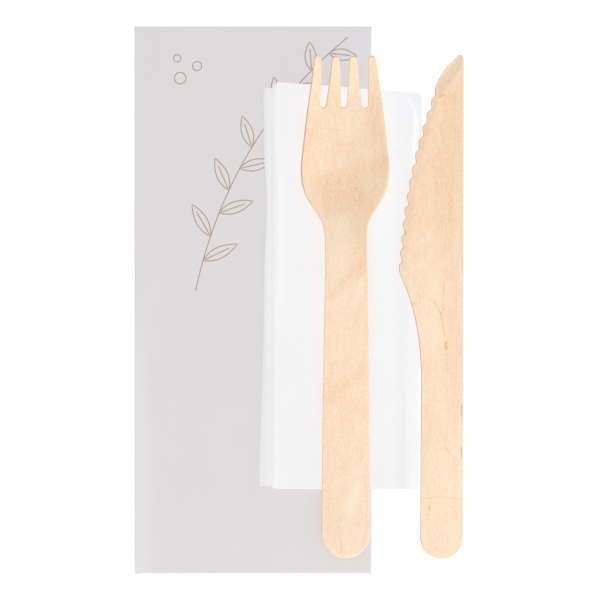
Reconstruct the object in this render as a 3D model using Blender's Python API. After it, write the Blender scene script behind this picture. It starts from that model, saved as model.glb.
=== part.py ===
"""Wooden cutlery set: a paper pouch lying flat, a folded napkin on it, a fork on the napkin and a knife beside it."""

import math

import bmesh
import bpy

MM = 0.001

# Rest gap between pieces that lie on each other
REST_GAP = 0.3 * MM

# Pouch, one folded sheet of paper
POUCH_WIDTH = 77.8 * MM
POUCH_LENGTH = 179.7 * MM
POUCH_PAPER = 0.15 * MM
POUCH_HOLLOW = 0.5 * MM
SEAM_WIDTH = 11.0 * MM
FLAP_LENGTH = 14.0 * MM

# Napkin, one sheet folded into a packet of ten layers
NAPKIN_LENGTH = 133.8 * MM
NAPKIN_LAYER = 0.19 * MM
NAPKIN_LAYERS = 10
NAPKIN_ON_POUCH = 31.18 * MM
NAPKIN_OVERHANG = 16.72 * MM
NAPKIN_BELOW_MOUTH = 18.3 * MM
NAPKIN_SLANT = 3.6 * MM
NAPKIN_CORNER = 1.5 * MM
SECOND_LEAF = 1.4 * MM
LOWER_LEAF = 3.0 * MM
LOWER_LEAF_SHORTER = 1.6 * MM
LEAF_SPLAY = 1.3 * MM
RIGHT_TAPER = 1.2 * MM
DROP_RUN = 9.0 * MM

# Fork, one pressed piece of veneer
FORK_LENGTH = 164.6 * MM
FORK_THICKNESS = 1.6 * MM
FORK_BELOW_MOUTH = 9.8 * MM
FORK_INSIDE_POUCH = 8.38 * MM
FORK_HANDLE_WIDTH = 16.0 * MM
FORK_NECK_WIDTH = 13.7 * MM
FORK_HEAD_WIDTH = 28.6 * MM
FORK_TIP_SPREAD = 19.8 * MM
FORK_HEAD_LENGTH = 60.2 * MM
FORK_SHOULDER = 36.6 * MM
FORK_STRAY = 0.1 * MM
TINE_LENGTH = 17.1 * MM
SLOT_ROOT_WIDTH = 2.1 * MM
SLOT_TIP_WIDTH = 3.8 * MM
SLOT_NARROWER = (0.15 * MM, 0.35 * MM, 0.0)
SLOT_ROOT_SPACING = 6.9 * MM
SLOT_TIP_SPACING = 5.8 * MM
SLOT_OFFSET = 0.44 * MM
BOWL_DISH = 1.9 * MM
TINE_DISH = 1.2 * MM
NECK_RISE = 2.6 * MM
HANDLE_RISE = 0.4 * MM
TIP_RISE = 3.4 * MM
FORK_EDGE_ROUND = 0.25 * MM
FORK_END_STRETCH = 1.07

# Knife, one pressed piece of veneer
KNIFE_LENGTH = 165.4 * MM
KNIFE_THICKNESS = 1.6 * MM
KNIFE_BELOW_MOUTH = 9.3 * MM
KNIFE_BESIDE_POUCH = 30.24 * MM
KNIFE_TURN = 0.1
KNIFE_HANDLE_WIDTH = 14.05 * MM
KNIFE_WAIST_WIDTH = 13.85 * MM
KNIFE_BELLY_WIDTH = 21.3 * MM
KNIFE_BLADE_LENGTH = 70.3 * MM
KNIFE_SWELL = 33.3 * MM
NOSE_LENGTH = 13.45 * MM
NOSE_WIDTH = 9.4 * MM
NOSE_TIP_WIDTH = 1.0 * MM
NOSE_TIP_HEIGHT = 1.6 * MM
TEETH = 13
TOOTH_DEPTH = 0.75 * MM
BELLY_TOOTH_DEPTH = 0.9 * MM
TOOTH_HOLLOW = 0.4
TOOTH_GROWTH = 0.04
TOOTH_STEP = 0.27
BEVEL_WIDTH = 2.2 * MM
BEVEL_DROP = 0.45 * MM
FACET_SLOPE = 0.27
FACET_DEPTH = 0.9 * MM
FACET_TOP = (0.4 * MM, 4.2 * MM)
FACET_FOOT = (8.5 * MM, 14.2 * MM)
KNIFE_EDGE_ROUND = 0.2 * MM


def material(name, color, roughness):
    made = bpy.data.materials.new(name)
    made.use_nodes = True
    shader = made.node_tree.nodes["Principled BSDF"]
    shader.inputs["Base Color"].default_value = (*color, 1.0)
    shader.inputs["Roughness"].default_value = roughness
    shader.inputs["Metallic"].default_value = 0.0
    made.diffuse_color = (*color, 1.0)
    return made


def add_object(name, points, faces, color, roughness):
    """A named object from points and faces, with its faces turned outward."""
    mesh = bpy.data.meshes.new(name)
    mesh.from_pydata([tuple(p) for p in points], [], faces)
    shape = bmesh.new()
    shape.from_mesh(mesh)
    bmesh.ops.recalc_face_normals(shape, faces=shape.faces)
    shape.to_mesh(mesh)
    shape.free()
    mesh.materials.append(material(name + "_look", color, roughness))
    made = bpy.data.objects.new(name, mesh)
    bpy.context.scene.collection.objects.link(made)
    return made


def blend(a, b, t):
    return a + (b - a) * t


def ease(t):
    t = min(1.0, max(0.0, t))
    return t * t * (3.0 - 2.0 * t)


def smooth_curve(knots):
    """A curve through (place, value) knots that never swings past them."""
    places = [k[0] for k in knots]
    values = [k[1] for k in knots]
    count = len(knots)
    runs = [places[i + 1] - places[i] for i in range(count - 1)]
    slopes = [(values[i + 1] - values[i]) / runs[i] for i in range(count - 1)]
    lean = [slopes[0]]
    for i in range(1, count - 1):
        if slopes[i - 1] * slopes[i] <= 0.0:
            lean.append(0.0)
        else:
            first = 2.0 * runs[i] + runs[i - 1]
            second = runs[i] + 2.0 * runs[i - 1]
            lean.append((first + second) / (first / slopes[i - 1] + second / slopes[i]))
    lean.append(slopes[-1])

    def value(place):
        if place <= places[0]:
            return values[0]
        if place >= places[-1]:
            return values[-1]
        i = max(j for j in range(count - 1) if places[j] <= place)
        run = runs[i]
        t = (place - places[i]) / run
        rise = t * t * (3.0 - 2.0 * t)
        start = t * (1.0 - t) * (1.0 - t)
        end = t * t * (1.0 - t)
        return blend(values[i], values[i + 1], rise) + run * (start * lean[i] - end * lean[i + 1])

    return value


def pressed_plate(spots, quads, height, thickness, rounding, thinned):
    """A closed plate over flat spots: height gives its middle surface, and its rim is rounded."""
    uses = {}
    for quad in quads:
        for a, b in zip(quad, quad[1:] + quad[:1]):
            uses[(a, b)] = True
    after = {a: b for a, b in uses if (b, a) not in uses}
    before = {b: a for a, b in after.items()}
    step = 0.05 * MM

    def placed(x, y, offset):
        z = height(x, y)
        slope_x = (height(x + step, y) - height(x - step, y)) / (2.0 * step)
        slope_y = (height(x, y + step) - height(x, y - step)) / (2.0 * step)
        scale = offset / math.sqrt(1.0 + slope_x**2 + slope_y**2)
        return (x - slope_x * scale, y - slope_y * scale, z + scale)

    points = []
    index = {}

    def keep(key, point):
        index[key] = len(points)
        points.append(point)

    half = thickness / 2.0
    for key, (x, y) in spots.items():
        inner_x = x
        inner_y = y
        cut = thinned(x, y, key)
        if key in after:
            ahead = spots[after[key]]
            behind = spots[before[key]]
            along_x = ahead[0] - behind[0]
            along_y = ahead[1] - behind[1]
            size = math.hypot(along_x, along_y)
            inner_x -= along_y / size * rounding
            inner_y += along_x / size * rounding
            keep(("rim_top", key), placed(x, y, half - rounding - cut))
            keep(("rim_low", key), placed(x, y, rounding - half))
        keep(("top", key), placed(inner_x, inner_y, half - cut))
        keep(("low", key), placed(inner_x, inner_y, -half))
    faces = []
    for quad in quads:
        faces.append([index[("top", key)] for key in quad])
        faces.append([index[("low", key)] for key in reversed(quad)])
    for a, b in after.items():
        for upper, lower in (("top", "rim_top"), ("rim_top", "rim_low"), ("rim_low", "low")):
            faces.append([index[(upper, b)], index[(upper, a)], index[(lower, a)], index[(lower, b)]])
    return points, faces


# Layout from the set's middle: the pouch's left edge and the knife's back are the outer sides
SET_WIDTH = POUCH_WIDTH + KNIFE_BESIDE_POUCH
POUCH_LEFT = -SET_WIDTH / 2.0
POUCH_RIGHT = POUCH_LEFT + POUCH_WIDTH
MOUTH = POUCH_LENGTH / 2.0
POUCH_TOP = 3.0 * POUCH_PAPER + POUCH_HOLLOW
NAPKIN_REST = POUCH_TOP + REST_GAP
NAPKIN_THICKNESS = NAPKIN_LAYER * NAPKIN_LAYERS
NAPKIN_LEFT = POUCH_RIGHT - NAPKIN_ON_POUCH
NAPKIN_RIGHT = POUCH_RIGHT + NAPKIN_OVERHANG
NAPKIN_TOP_EDGE = MOUTH - NAPKIN_BELOW_MOUTH
NAPKIN_FOOT = NAPKIN_TOP_EDGE - NAPKIN_LENGTH
FORK_REST = NAPKIN_REST + NAPKIN_THICKNESS + REST_GAP


def build_pouch():
    """A flat tube, closed at the foot, with its lap seam and its folded foot flap under it."""
    low = POUCH_PAPER
    high = POUCH_TOP
    middle = (low + high) / 2.0
    corner = (high - low) / 2.0
    sides = 5

    def ring(inset):
        radius = corner - inset
        line = []
        for side, centre in ((1.0, POUCH_RIGHT - corner), (-1.0, POUCH_LEFT + corner)):
            for i in range(sides):
                turn = math.pi * (i / (sides - 1) - 0.5)
                x = centre + side * radius * math.cos(turn)
                line.append((x, middle + side * radius * math.sin(turn)))
        return line

    outer = ring(0.0)
    inner = ring(POUCH_PAPER)
    count = len(outer)
    foot = -MOUTH
    sections = ((outer, foot), (outer, MOUTH), (inner, MOUTH), (inner, foot + 2.0 * POUCH_PAPER))
    points = [(x, y, z) for line, y in sections for x, z in line]
    faces = []
    for k in range(len(sections) - 1):
        for i in range(count):
            j = (i + 1) % count
            faces.append([k * count + i, k * count + j, (k + 1) * count + j, (k + 1) * count + i])
    faces.append(list(range(count)))
    faces.append([3 * count + i for i in range(count)])
    pouch = add_object("paper_pouch", points, faces, (0.745, 0.715, 0.73), 0.85)

    centre = (POUCH_LEFT + POUCH_RIGHT) / 2.0
    inside = POUCH_PAPER / 3.0
    strips = (
        ("pouch_seam", centre - SEAM_WIDTH / 2.0, centre + SEAM_WIDTH / 2.0, foot, MOUTH),
        ("pouch_flap", POUCH_LEFT + corner, POUCH_RIGHT - corner, foot, foot + FLAP_LENGTH),
    )
    for name, left, right, near, far in strips:
        corners = ((left, near), (right, near), (right, far), (left, far))
        box = [(x, y, z) for z in (0.0, low + inside) for x, y in corners]
        walls = [[0, 1, 2, 3], [4, 5, 6, 7]] + [[i, (i + 1) % 4, 4 + (i + 1) % 4, 4 + i] for i in range(4)]
        strip = add_object(name, box, walls, (0.745, 0.715, 0.73), 0.85)
        strip.hide_render = True
        strip.display_type = "WIRE"
        join = pouch.modifiers.new(name, "BOOLEAN")
        join.operation = "UNION"
        join.solver = "EXACT"
        join.object = strip


def napkin_under(x):
    """Underside of the napkin: flat on the pouch, then down to the table beside it."""
    start = POUCH_RIGHT + REST_GAP
    return NAPKIN_REST * (1.0 - ease((x - start) / DROP_RUN))


def build_napkin():
    """A folded packet whose two lower leaves stick out at its left."""
    two = 2.0 * NAPKIN_LAYER
    riser = 0.1 * MM
    second = NAPKIN_LEFT - SECOND_LEAF
    lowest = second - LOWER_LEAF
    shorter = LOWER_LEAF_SHORTER
    columns = [
        (lowest, two, shorter),
        (second - riser, two, shorter),
        (second, 2.0 * two, shorter / 3.0),
        (NAPKIN_LEFT - riser, 2.0 * two, shorter / 3.0),
        (NAPKIN_LEFT, NAPKIN_THICKNESS, 0.0),
    ]
    flat_end = POUCH_RIGHT + REST_GAP
    steps = 6
    for i in range(1, 4):
        columns.append((blend(NAPKIN_LEFT, flat_end, i / 3.0), NAPKIN_THICKNESS, 0.0))
    for i in range(1, steps + 1):
        columns.append((flat_end + DROP_RUN * i / steps, NAPKIN_THICKNESS, 0.0))
    for turn in (0.0, 0.35, 0.65, 0.88, 1.0):
        place = NAPKIN_RIGHT - NAPKIN_CORNER * (1.0 - math.sin(turn * math.pi / 2.0))
        columns.append((place, NAPKIN_THICKNESS, NAPKIN_CORNER * (1.0 - math.cos(turn * math.pi / 2.0))))
    columns = [c for i, c in enumerate(columns) if i == 0 or c[0] - columns[i - 1][0] > 0.01 * MM]
    rows = 10
    points = []
    for x, thick, short in columns:
        share = max(0.0, (x - NAPKIN_LEFT) / (NAPKIN_RIGHT - NAPKIN_LEFT))
        top = NAPKIN_TOP_EDGE - NAPKIN_SLANT * share - short
        for i in range(rows + 1):
            y = blend(NAPKIN_FOOT + short, top, i / rows)
            lean = 0.0
            if x <= NAPKIN_LEFT:
                lean = LEAF_SPLAY * (NAPKIN_LEFT - x) / (NAPKIN_LEFT - lowest)
            if x > NAPKIN_RIGHT - 2.0 * NAPKIN_CORNER:
                lean = RIGHT_TAPER
            placed = x - lean * (1.0 - i / rows)
            points.append((placed, y, napkin_under(x)))
            points.append((placed, y, napkin_under(x) + thick))
    wide = len(columns)

    def at(column, row, upper):
        return (column * (rows + 1) + row) * 2 + upper

    faces = []
    for c in range(wide - 1):
        for r in range(rows):
            for upper in (0, 1):
                faces.append([at(c, r, upper), at(c + 1, r, upper), at(c + 1, r + 1, upper), at(c, r + 1, upper)])
        for r in (0, rows):
            faces.append([at(c, r, 0), at(c + 1, r, 0), at(c + 1, r, 1), at(c, r, 1)])
    for r in range(rows):
        for c in (0, wide - 1):
            faces.append([at(c, r, 0), at(c, r + 1, 0), at(c, r + 1, 1), at(c, r, 1)])
    add_object("paper_napkin", points, faces, (0.9, 0.9, 0.9), 0.95)


def round_row(half, places, edge_turn, share):
    """One row of a rounded end: share 1 lies on the end's arc, and share 0 is straight."""
    reach = half * math.sin(edge_turn)
    base = half * math.cos(edge_turn)
    row = []
    for place in places:
        x = reach * place
        row.append((x, base + share * (math.sqrt(half * half - x * x) - base)))
    return row


ROUND_END = ((90.0, 0.0), (78.0, 0.3), (66.0, 0.65), (52.0, 1.0))


def build_fork():
    """One veneer plate with four tines, pressed into a bowl behind them."""
    root = FORK_LENGTH - TINE_LENGTH
    neck = FORK_LENGTH - FORK_HEAD_LENGTH
    shoulder = FORK_LENGTH - FORK_SHOULDER
    half_neck = FORK_NECK_WIDTH / 2.0
    half_head = FORK_HEAD_WIDTH / 2.0
    half_handle = FORK_HANDLE_WIDTH / 2.0
    half_tip = FORK_TIP_SPREAD / 2.0
    flare = shoulder - neck
    half_width = smooth_curve(
        [
            (half_handle, half_handle),
            (blend(half_handle, neck, 0.76), blend(half_handle, half_neck, 0.71)),
            (neck, half_neck),
            (neck + 0.19 * flare, blend(half_neck, half_head, 0.06)),
            (neck + 0.36 * flare, blend(half_neck, half_head, 0.3)),
            (neck + 0.52 * flare, blend(half_neck, half_head, 0.645)),
            (neck + 0.69 * flare, blend(half_neck, half_head, 0.885)),
            (neck + 0.855 * flare, blend(half_neck, half_head, 0.99)),
            (shoulder, half_head),
            (blend(shoulder, FORK_LENGTH, 0.2), blend(half_head, half_tip, 0.15)),
            (blend(shoulder, FORK_LENGTH, 0.5), blend(half_head, half_tip, 0.435)),
            (blend(shoulder, FORK_LENGTH, 0.75), blend(half_head, half_tip, 0.73)),
            (FORK_LENGTH, half_tip),
        ]
    )
    rest = FORK_THICKNESS / 2.0
    foot = MOUTH - FORK_BELOW_MOUTH - FORK_LENGTH
    side = smooth_curve(
        [
            (0.0, HANDLE_RISE),
            (NAPKIN_FOOT - foot, 0.0),
            (blend(0.0, neck, 0.94), NECK_RISE),
            (blend(neck, shoulder, 0.92), 0.0),
            (blend(root, FORK_LENGTH, 0.17), 0.3 * TIP_RISE),
            (FORK_LENGTH, TIP_RISE),
        ]
    )
    dish = smooth_curve(
        [
            (neck, 0.0),
            (blend(neck, shoulder, 0.85), BOWL_DISH),
            (root, blend(BOWL_DISH, TINE_DISH, 0.5)),
            (FORK_LENGTH, TINE_DISH),
        ]
    )
    lean = smooth_curve(
        [
            (0.0, -1.2 * FORK_STRAY),
            (0.53 * neck, -0.6 * FORK_STRAY),
            (0.87 * neck, FORK_STRAY),
            (neck, -1.3 * FORK_STRAY),
            (neck + 0.36 * flare, -2.7 * FORK_STRAY),
            (neck + 0.65 * flare, -4.0 * FORK_STRAY),
            (shoulder, -3.7 * FORK_STRAY),
            (FORK_LENGTH - 8.0 * MM, -3.4 * FORK_STRAY),
            (FORK_LENGTH, -5.0 * FORK_STRAY),
        ]
    )

    def middle(along):
        return POUCH_RIGHT - FORK_INSIDE_POUCH + lean(along)

    def height(x, y):
        along = y - foot
        across = (x - middle(along)) / half_head
        return FORK_REST + rest + side(along) + dish(along) * across * across

    tine_shares = (0.0, 0.5, 1.0)
    slot_turns = (45.0, 90.0, 135.0)
    slots = tuple(zip((-1.0, 0.0, 1.0), SLOT_NARROWER))

    def slot(kind, along):
        spacing, narrower = kind
        t = (along - root) / TINE_LENGTH
        centre = spacing * blend(SLOT_ROOT_SPACING, SLOT_TIP_SPACING, t)
        centre -= blend(SLOT_OFFSET, 0.0, t)
        wide = blend(SLOT_ROOT_WIDTH, SLOT_TIP_WIDTH, t) - narrower
        return centre - wide / 2.0, centre + wide / 2.0

    def tine(number, along):
        left = -half_width(along) if number == 0 else slot(slots[number - 1], along)[1]
        right = half_width(along) if number == len(slots) else slot(slots[number], along)[0]
        return left, right

    root_row = root + SLOT_ROOT_WIDTH / 2.0
    places = []
    dips = []
    tine_columns = []
    for number in range(len(slots) + 1):
        left, right = tine(number, root_row)
        tine_columns.append(list(range(len(places), len(places) + len(tine_shares))))
        for share in tine_shares:
            places.append(blend(left, right, share))
            dips.append(0.0)
        if number < len(slots):
            start, end = slot(slots[number], root_row)
            for degrees in slot_turns:
                turn = math.radians(degrees)
                places.append((start + end) / 2.0 - (end - start) / 2.0 * math.cos(turn))
                dips.append((end - start) / 2.0 * math.sin(turn))
    columns = len(places)
    half_root = half_width(root_row)
    shares = [p / half_root for p in places]

    spots = {}
    row = 0
    for turn, share in reversed(ROUND_END):
        for c, (x, y) in enumerate(round_row(half_handle, shares, math.radians(turn), share)):
            along = FORK_END_STRETCH * (half_handle - y)
            spots[(row, c)] = (middle(along) + x, foot + along)
        row += 1
    alongs = []
    handle_rows = 16
    head_rows = 16
    for i in range(1, handle_rows + 1):
        alongs.append(blend(FORK_END_STRETCH * half_handle, neck, i / handle_rows))
    last_plain = root_row - 3.6 * MM
    for i in range(1, head_rows + 1):
        alongs.append(blend(neck, last_plain, i / head_rows))
    for along in alongs:
        for c in range(columns):
            spots[(row, c)] = (middle(along) + half_width(along) * shares[c], foot + along)
        row += 1
    for behind, fade in ((2.2 * MM, 0.25), (1.1 * MM, 0.55), (0.0, 1.0)):
        along = root_row - behind
        for c in range(columns):
            spots[(row, c)] = (middle(along) + half_width(along) * shares[c], foot + along - fade * dips[c])
        row += 1
    root_index = row - 1
    quads = []
    for r in range(root_index):
        for c in range(columns - 1):
            quads.append(((r, c), (r, c + 1), (r + 1, c + 1), (r + 1, c)))
    tine_rows = 8
    for number, used in enumerate(tine_columns):
        left, right = tine(number, FORK_LENGTH)
        tip_half = (right - left) / 2.0
        tip_base = FORK_LENGTH - tip_half
        row = root_index
        for i in range(1, tine_rows + 1):
            row += 1
            along = blend(root_row, tip_base, i / tine_rows)
            left, right = tine(number, along)
            for share, c in zip(tine_shares, used):
                spots[(row, c)] = (middle(along) + blend(left, right, share), foot + along)
        tip_half = (right - left) / 2.0
        centre = (left + right) / 2.0
        spread = [2.0 * share - 1.0 for share in tine_shares]
        for turn, share in ROUND_END[1:]:
            row += 1
            for c, (x, y) in zip(used, round_row(tip_half, spread, math.radians(turn), share)):
                spots[(row, c)] = (middle(tip_base + y) + centre + x, foot + tip_base + y)
        for r in range(root_index, row):
            for c in used[:-1]:
                quads.append(((r, c), (r, c + 1), (r + 1, c + 1), (r + 1, c)))
    points, faces = pressed_plate(spots, quads, height, FORK_THICKNESS, FORK_EDGE_ROUND, lambda x, y, key: 0.0)
    add_object("wooden_fork", points, faces, (0.95, 0.73, 0.53), 0.6)


def build_knife():
    """One veneer plate with a straight back, lying on the table at its back and on the napkin at its belly."""
    belly = KNIFE_LENGTH - KNIFE_BLADE_LENGTH
    swell = belly - KNIFE_SWELL
    nose = KNIFE_LENGTH - NOSE_LENGTH
    top_width = NOSE_WIDTH + TOOTH_DEPTH
    edge_line = smooth_curve(
        [
            (swell, KNIFE_WAIST_WIDTH),
            (blend(swell, belly, 0.25), blend(KNIFE_WAIST_WIDTH, KNIFE_BELLY_WIDTH, 0.08)),
            (blend(swell, belly, 0.5), blend(KNIFE_WAIST_WIDTH, KNIFE_BELLY_WIDTH, 0.265)),
            (blend(swell, belly, 0.75), blend(KNIFE_WAIST_WIDTH, KNIFE_BELLY_WIDTH, 0.585)),
            (blend(swell, belly, 0.92), blend(KNIFE_WAIST_WIDTH, KNIFE_BELLY_WIDTH, 0.895)),
            (belly, KNIFE_BELLY_WIDTH),
            (blend(belly, nose, 0.09), blend(KNIFE_BELLY_WIDTH, top_width, 0.04)),
            (blend(belly, nose, 0.25), blend(KNIFE_BELLY_WIDTH, top_width, 0.115)),
            (blend(belly, nose, 0.5), blend(KNIFE_BELLY_WIDTH, top_width, 0.309)),
            (blend(belly, nose, 0.75), blend(KNIFE_BELLY_WIDTH, top_width, 0.611)),
            (nose, top_width),
        ]
    )

    last_tooth = TEETH - 0.5
    last_pitch = (1.0 + TOOTH_GROWTH) * (nose - belly) / last_tooth

    def tooth_place(count):
        """How far up a place count teeth below the nose lies, as the teeth grow longer toward the belly."""
        share = count / last_tooth
        return blend(nose, belly, share * (1.0 - TOOTH_GROWTH * (1.0 - share)))

    def toothed(count):
        """The edge's width: each point steps out below a notch, then falls back in a long hollow."""
        along = tooth_place(count)
        if count >= last_tooth:
            return edge_line(along)
        part = count - math.floor(count)
        cut = 1.0 - ease(part / TOOTH_STEP) + ease((part - TOOTH_HOLLOW) / (1.0 - TOOTH_HOLLOW))
        depth = blend(TOOTH_DEPTH, BELLY_TOOTH_DEPTH, count / last_tooth)
        return edge_line(along) - depth * cut

    half_handle = KNIFE_HANDLE_WIDTH / 2.0
    columns = 6
    bevel_column = 1
    edges = []
    for i in range(15):
        along = blend(half_handle, swell, i / 14)
        edges.append((blend(KNIFE_HANDLE_WIDTH, KNIFE_WAIST_WIDTH, i / 14), along, along, 0.0))
    for i in range(1, 9):
        along = blend(swell, belly, i / 9)
        edges.append((edge_line(along), along, along, 0.0))
    for tooth in range(TEETH, 0, -1):
        for part in (1.0, 0.75, 0.5, TOOTH_STEP, 0.5 * TOOTH_STEP):
            count = tooth - 1.0 + part
            if count <= last_tooth:
                edges.append((toothed(count), tooth_place(count), tooth_place(count), 0.0))
    nose_line = smooth_curve(
        [(0.0, 1.0), (0.18, 0.99), (0.37, 0.885), (0.57, 0.715), (0.765, 0.5), (0.9, 0.3), (1.0, 0.15)]
    )
    tip = KNIFE_LENGTH - NOSE_TIP_HEIGHT
    back_turns = (0.0, 0.0, 0.0, 0.0, 0.0, 0.0, 40.0, 80.0)
    for i, part in enumerate((0.0, 0.09, 0.22, 0.4, 0.58, 0.76, 0.9, 1.0)):
        turn = math.radians(back_turns[i])
        far = blend(nose, tip, min(1.0, part / 0.76)) + NOSE_TIP_HEIGHT * math.sin(turn)
        near = nose + NOSE_LENGTH * part
        edges.append((NOSE_WIDTH * nose_line(part), near, far, NOSE_TIP_WIDTH * (1.0 - math.cos(turn))))

    reach = KNIFE_BESIDE_POUCH - NAPKIN_OVERHANG
    support = NAPKIN_THICKNESS
    roll = math.atan2(support, reach) + math.asin(REST_GAP / math.hypot(support, reach))
    back = POUCH_RIGHT + KNIFE_BESIDE_POUCH
    foot = MOUTH - KNIFE_BELOW_MOUTH - KNIFE_LENGTH

    spots = {}
    row = 0
    even = [2.0 * c / columns - 1.0 for c in range(columns + 1)]
    for turn, share in reversed(ROUND_END[1:]):
        for c, (x, y) in enumerate(round_row(half_handle, even, math.radians(turn), share)):
            spots[(row, c)] = (x - half_handle, half_handle - y)
        row += 1
    first_bevel = None
    for wide, near, far, inset in edges:
        in_blade = near >= belly - last_pitch
        if in_blade and first_bevel is None:
            first_bevel = row
        for c in range(columns + 1):
            share = c / columns
            if in_blade:
                inner = min(0.4, BEVEL_WIDTH / wide)
                share = inner * c / bevel_column
                if c > bevel_column:
                    share = blend(inner, 1.0, (c - bevel_column) / (columns - bevel_column))
            spots[(row, c)] = (-blend(wide, inset, share), blend(near, far, share))
        row += 1
    quads = []
    for r in range(row - 1):
        for c in range(columns):
            quads.append(((r, c), (r, c + 1), (r + 1, c + 1), (r + 1, c)))

    facet_x = -FACET_TOP[0]
    facet_y = KNIFE_LENGTH - FACET_TOP[1]
    run_x = FACET_TOP[0] - FACET_FOOT[0]
    run_y = FACET_TOP[1] - FACET_FOOT[1]
    run = math.hypot(run_x, run_y)

    def thinned(x, y, key):
        """How much thinner the knife is: a bevel along the teeth and a slanting facet over the nose."""
        bevel = BEVEL_DROP if key[0] >= first_bevel and key[1] == 0 else 0.0
        beyond = ((x - facet_x) * run_y - (y - facet_y) * run_x) / run
        return max(bevel, min(FACET_DEPTH, FACET_SLOPE * max(0.0, beyond)))

    flat = KNIFE_THICKNESS / 2.0
    points, faces = pressed_plate(spots, quads, lambda x, y: flat, KNIFE_THICKNESS, KNIFE_EDGE_ROUND, thinned)
    turn = math.radians(KNIFE_TURN)
    turned = []
    for x, y, z in points:
        across = x * math.cos(roll) + z * math.sin(roll)
        before_tip = y - KNIFE_LENGTH
        place = (across * math.cos(turn) + before_tip * math.sin(turn), y - across * math.sin(turn))
        turned.append((*place, z * math.cos(roll) - x * math.sin(roll)))
    lowest = min(p[2] for p in turned)
    widest = max(p[0] for p in turned)
    lift = -lowest
    placed = [(back - widest + x, foot + y, z + lift) for x, y, z in turned]
    add_object("wooden_knife", placed, faces, (0.95, 0.74, 0.54), 0.6)


for old in list(bpy.data.objects):
    bpy.data.objects.remove(old, do_unlink=True)
build_pouch()
build_napkin()
build_fork()
build_knife()
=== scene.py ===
"""Wooden cutlery set laid out flat and seen from straight above: pouch, folded napkin, fork and knife."""

import math

import bmesh
import bpy
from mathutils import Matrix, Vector, noise


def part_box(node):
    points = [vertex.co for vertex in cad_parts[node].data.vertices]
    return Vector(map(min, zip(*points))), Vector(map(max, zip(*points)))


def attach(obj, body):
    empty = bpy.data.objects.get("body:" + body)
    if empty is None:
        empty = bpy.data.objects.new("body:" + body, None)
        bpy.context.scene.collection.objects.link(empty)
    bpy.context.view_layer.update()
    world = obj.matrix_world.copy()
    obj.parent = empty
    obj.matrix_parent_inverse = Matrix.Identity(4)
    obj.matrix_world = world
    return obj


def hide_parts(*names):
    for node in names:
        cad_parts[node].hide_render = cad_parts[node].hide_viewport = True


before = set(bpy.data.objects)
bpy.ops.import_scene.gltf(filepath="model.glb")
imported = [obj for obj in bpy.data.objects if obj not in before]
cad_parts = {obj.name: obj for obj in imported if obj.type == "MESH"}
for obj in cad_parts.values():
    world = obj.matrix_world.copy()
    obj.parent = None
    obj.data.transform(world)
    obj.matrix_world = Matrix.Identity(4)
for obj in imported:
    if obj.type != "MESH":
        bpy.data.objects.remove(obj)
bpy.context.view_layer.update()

MM = 0.001

# Layout, from the solids
pouch_low, pouch_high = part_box("paper_pouch")
napkin_low, napkin_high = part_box("paper_napkin")
knife_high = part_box("wooden_knife")[1]
POUCH_LEFT = pouch_low.x
POUCH_RIGHT = pouch_high.x
MOUTH = pouch_high.y
FOOT = pouch_low.y
REST_GAP = 0.3 * MM

# Pouch paper
PAPER = 0.15 * MM
POUCH_TOP = pouch_high.z
TABLE_LEVEL = 0.5 * PAPER
BACK_LEVEL = 1.54 * PAPER
INNER_LIFT = 1.1 * PAPER
OUTER_LIFT = 1.06 * PAPER
FRONT_SAG = 0.12 * MM
SEAM_WIDTH = 11.0 * MM
SEAM_STEP = 1.2 * MM
FLAP_LENGTH = 14.0 * MM
FLAP_TAPER = 0.03

# Napkin
NAPKIN_REST = POUCH_TOP + REST_GAP
NAPKIN_PITCH = 0.38 * MM
NAPKIN_PANELS = 5
TISSUE = 0.11 * MM
NAPKIN_LEFT = POUCH_RIGHT - 31.18 * MM
NAPKIN_RIGHT = napkin_high.x
NAPKIN_TOP = napkin_high.y
NAPKIN_SLANT = 3.6 * MM
NAPKIN_FOOT = napkin_low.y
SECOND_LEAF = 1.4 * MM
LOWER_LEAF = 3.0 * MM
INNER_RIGHT = NAPKIN_RIGHT - 0.9 * MM
MIDDLE_RIGHT = NAPKIN_RIGHT - 0.4 * MM
RIGHT_TAPER = 1.2 * MM
LOWEST_LEAF_SHORTER = 1.8 * MM
SECOND_LEAF_SHORTER = 0.6 * MM
NAPKIN_CORNER = 1.5 * MM
DROP_RUN = 9.0 * MM
RIDGE_RISE = 0.16 * MM
CREASE_RISE = 0.1 * MM
SWELL_RISE = 0.14 * MM
NAPKIN_THICKNESS = NAPKIN_PITCH * NAPKIN_PANELS

# Fork
FORK_LENGTH = 164.6 * MM
VENEER = 1.6 * MM
FORK_REST = NAPKIN_REST + NAPKIN_THICKNESS + REST_GAP
FORK_MIDDLE = POUCH_RIGHT - 8.38 * MM
FORK_FOOT = MOUTH - 9.8 * MM - FORK_LENGTH
FORK_HANDLE_WIDTH = 16.0 * MM
FORK_NECK_WIDTH = 13.7 * MM
FORK_HEAD_WIDTH = 28.6 * MM
FORK_TIP_SPREAD = 19.8 * MM
FORK_HEAD_LENGTH = 60.2 * MM
FORK_SHOULDER = 36.6 * MM
FORK_STRAY = 0.1 * MM
TINE_LENGTH = 17.1 * MM
SLOT_ROOT_WIDTH = 2.1 * MM
SLOT_TIP_WIDTH = 3.8 * MM
SLOT_NARROWER = (0.15 * MM, 0.35 * MM, 0.0)
SLOT_ROOT_SPACING = 6.9 * MM
SLOT_TIP_SPACING = 5.8 * MM
SLOT_OFFSET = 0.44 * MM
BOWL_DISH = 1.9 * MM
TINE_DISH = 1.2 * MM
NECK_RISE = 2.6 * MM
HANDLE_RISE = 0.4 * MM
TIP_RISE = 3.4 * MM
TIP_SHORTER = (0.0, 0.3 * MM, 0.3 * MM, 0.2 * MM)
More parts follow.
